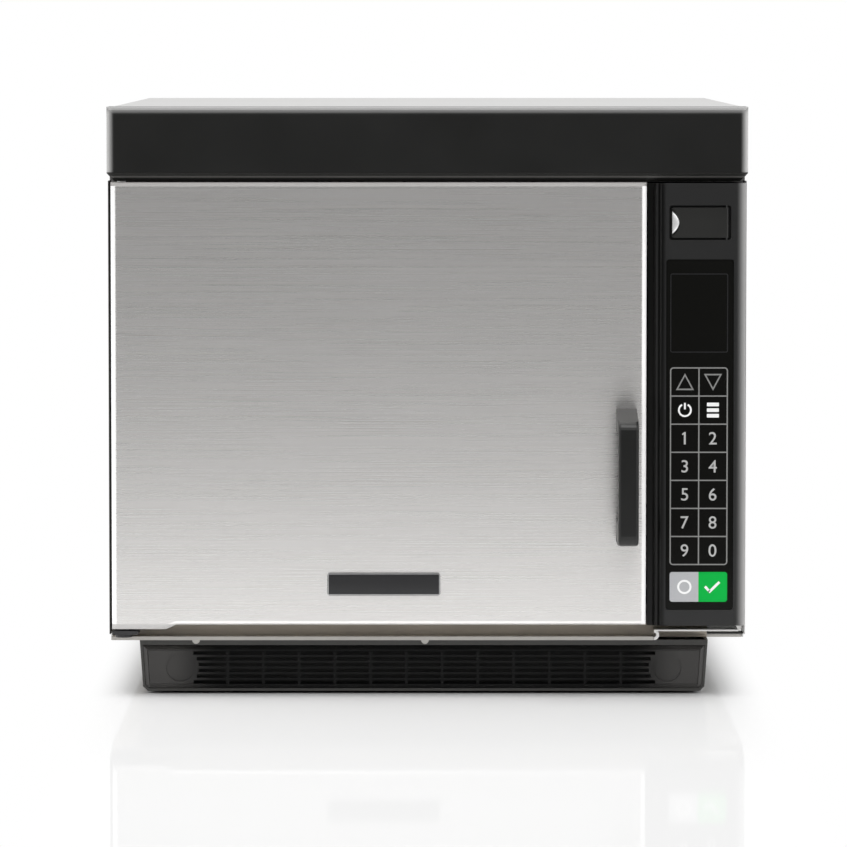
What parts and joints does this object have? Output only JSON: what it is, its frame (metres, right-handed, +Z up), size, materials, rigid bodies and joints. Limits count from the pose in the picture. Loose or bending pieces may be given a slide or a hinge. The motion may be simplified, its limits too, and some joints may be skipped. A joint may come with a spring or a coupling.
{
  "type": "countertop speed oven",
  "caption": "Countertop speed oven with a left-hinged brushed-steel door, a keypad housing, a black top bezel and a louvred air-filter base.",
  "frame": {"origin": "on the floor, under the middle of the whole oven's box", "axes": "+X to the viewer's right, the front and the door face -Y, +Z up"},
  "size_m": [0.489, 0.667, 0.452],
  "materials": {
    "brushed_steel": "fine horizontal brushing",
    "liner_steel": "smooth mill finish",
    "zinc_plate": "zinc plated",
    "black_moulding": "satin moulding",
    "gloss_overlay": "gloss",
    "black_paint": "satin powder coat",
    "rubber": "matt",
    "ceramic": "satin glaze",
    "mineral_wool": "fibrous",
    "circuit_board": "solder mask",
    "copper_winding": "varnished winding on a steel core",
    "dark_element": "oxidised sheath"
  },
  "bodies": {
    "body": {"outer_case": "brushed_steel", "rear_panel": "brushed_steel", "front_frame": "brushed_steel", "chassis_deck": "brushed_steel", "interlock_bracket": "zinc_plate", "interlock_switch_lower": "black_moulding", "interlock_switch_upper": "black_moulding", "hinge_bracket_lower": "zinc_plate", "hinge_bracket_upper": "zinc_plate", "hinge_pin_lower": "zinc_plate", "hinge_pin_upper": "zinc_plate", "top_bezel": "black_moulding", "control_housing": "black_moulding", "keypad_overlay": "gloss_overlay", "display_module": "gloss_overlay", "control_board": "circuit_board", "usb_port": "zinc_plate", "base_plinth": "black_paint", "foot_front_left": "rubber", "foot_front_right": "rubber", "foot_rear_left": "rubber", "foot_rear_right": "rubber", "cavity_liner": "liner_steel", "air_diffuser": "liner_steel", "rack_guide_left": "liner_steel", "rack_guide_right": "liner_steel", "element_clip_front": "liner_steel", "element_clip_rear": "liner_steel", "grill_element": "dark_element", "ring_element": "dark_element", "ceramic_floor": "ceramic", "insulation_jacket": "mineral_wool", "waveguide": "zinc_plate", "antenna_motor": "black_moulding", "magnetron": "zinc_plate", "hv_transformer": "copper_winding", "hv_capacitor": "zinc_plate", "plenum_cover": "zinc_plate", "fan_motor": "zinc_plate", "blower_housing": "black_moulding", "blower_motor": "zinc_plate", "power_gland": "black_moulding"},
    "door": {"door_skin": "brushed_steel", "door_frame": "liner_steel", "door_inner_panel": "liner_steel", "choke_cover": "black_moulding", "door_handle": "black_moulding", "door_plate": "gloss_overlay", "handle_screw_lower": "zinc_plate", "handle_screw_upper": "zinc_plate"},
    "latch": {"latch_bar": "zinc_plate"},
    "usb_flap": {"usb_cover": "black_moulding"},
    "filter": {"air_filter": "black_moulding", "filter_grille": "black_moulding", "filter_mesh": "zinc_plate"},
    "rack": {"wire_rack": "liner_steel"},
    "fan": {"convection_fan": "zinc_plate"},
    "impeller": {"blower_impeller": "black_moulding"},
    "stirrer": {"antenna": "zinc_plate"}
  },
  "joints": [
    {"name": "door_hinge", "type": "hinge", "parent": "body", "child": "door", "pos_m": [-0.2329, -0.27, 0.2254], "axis": [0, 0, -1], "range_deg": [0, 115]},
    {"name": "latch_slide", "type": "slide", "parent": "door", "child": "latch", "axis": [0, 0, 1], "range_m": [0, 0.004], "stiffness_N_per_m": 600},
    {"name": "usb_cover_hinge", "type": "hinge", "parent": "body", "child": "usb_flap", "pos_m": [0.22815, -0.28, 0.36395], "axis": [0, 0, 1], "range_deg": [0, 95]},
    {"name": "filter_slide", "type": "slide", "parent": "body", "child": "filter", "axis": [0, -1, 0], "range_m": [0, 0.06]},
    {"name": "rack_slide", "type": "slide", "parent": "body", "child": "rack", "axis": [0, -1, 0], "range_m": [0, 0.02]},
    {"name": "fan_spin", "type": "hinge", "parent": "body", "child": "fan", "pos_m": [-0.037, 0.1918, 0.2255], "axis": [0, 1, 0], "continuous": true},
    {"name": "impeller_spin", "type": "hinge", "parent": "body", "child": "impeller", "pos_m": [0.1778, 0.1875, 0.1301], "axis": [1, 0, 0], "continuous": true},
    {"name": "antenna_spin", "type": "hinge", "parent": "body", "child": "stirrer", "pos_m": [-0.037, -0.0407, 0.078], "axis": [0, 0, 1], "continuous": true}
  ]
}
